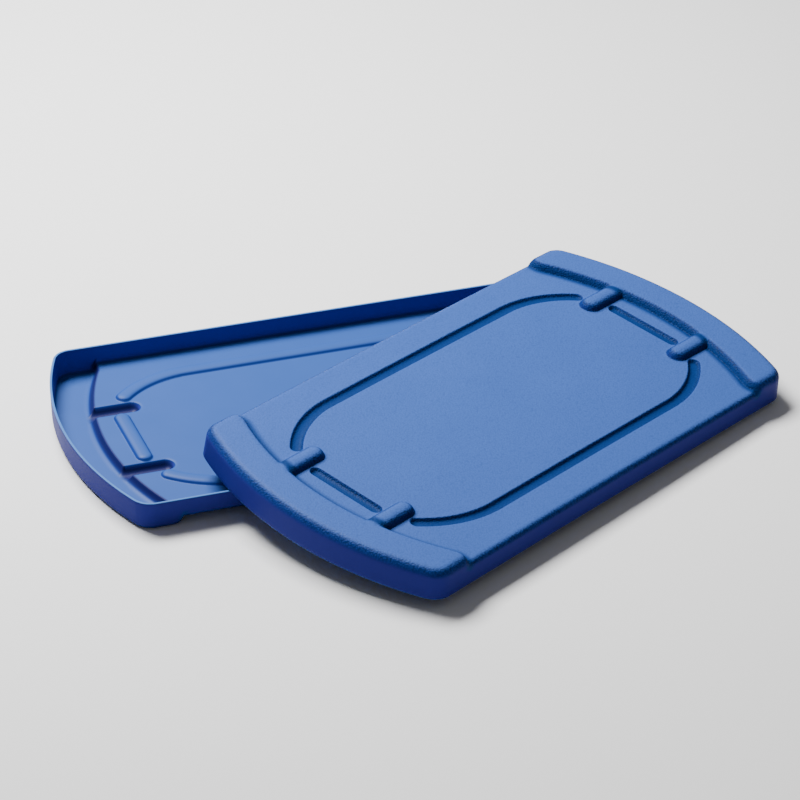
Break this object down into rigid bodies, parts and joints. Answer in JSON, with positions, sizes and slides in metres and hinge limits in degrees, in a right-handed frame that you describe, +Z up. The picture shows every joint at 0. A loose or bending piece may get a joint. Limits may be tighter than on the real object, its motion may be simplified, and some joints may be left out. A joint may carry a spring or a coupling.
{
  "type": "sandbox with cover",
  "caption": "Shallow plastic sand tray with bowed ends, lying open side up, and a matching ribbed cover leaning across it.",
  "frame": {"origin": "middle of the whole arrangement on the floor, with the cover leaning on the tray", "axes": "+X along the tray's length, towards the end that the cover lies over; +Y across the tray, away from the cover's low side; +Z up"},
  "size_m": [1.4582, 1.0288, 0.134],
  "materials": {
    "tray_plastic": "grained blue sheet, smooth on its inner side",
    "cover_plastic": "grained blue sheet, smooth on its inner side"
  },
  "bodies": {
    "tray": {"tray": "tray_plastic"},
    "cover": {"cover": "cover_plastic"}
  },
  "joints": [
    {"name": "cover_lift", "type": "slide", "parent": "tray", "child": "cover", "axis": [0, 0, 1], "range_m": [0, 0.3]}
  ]
}
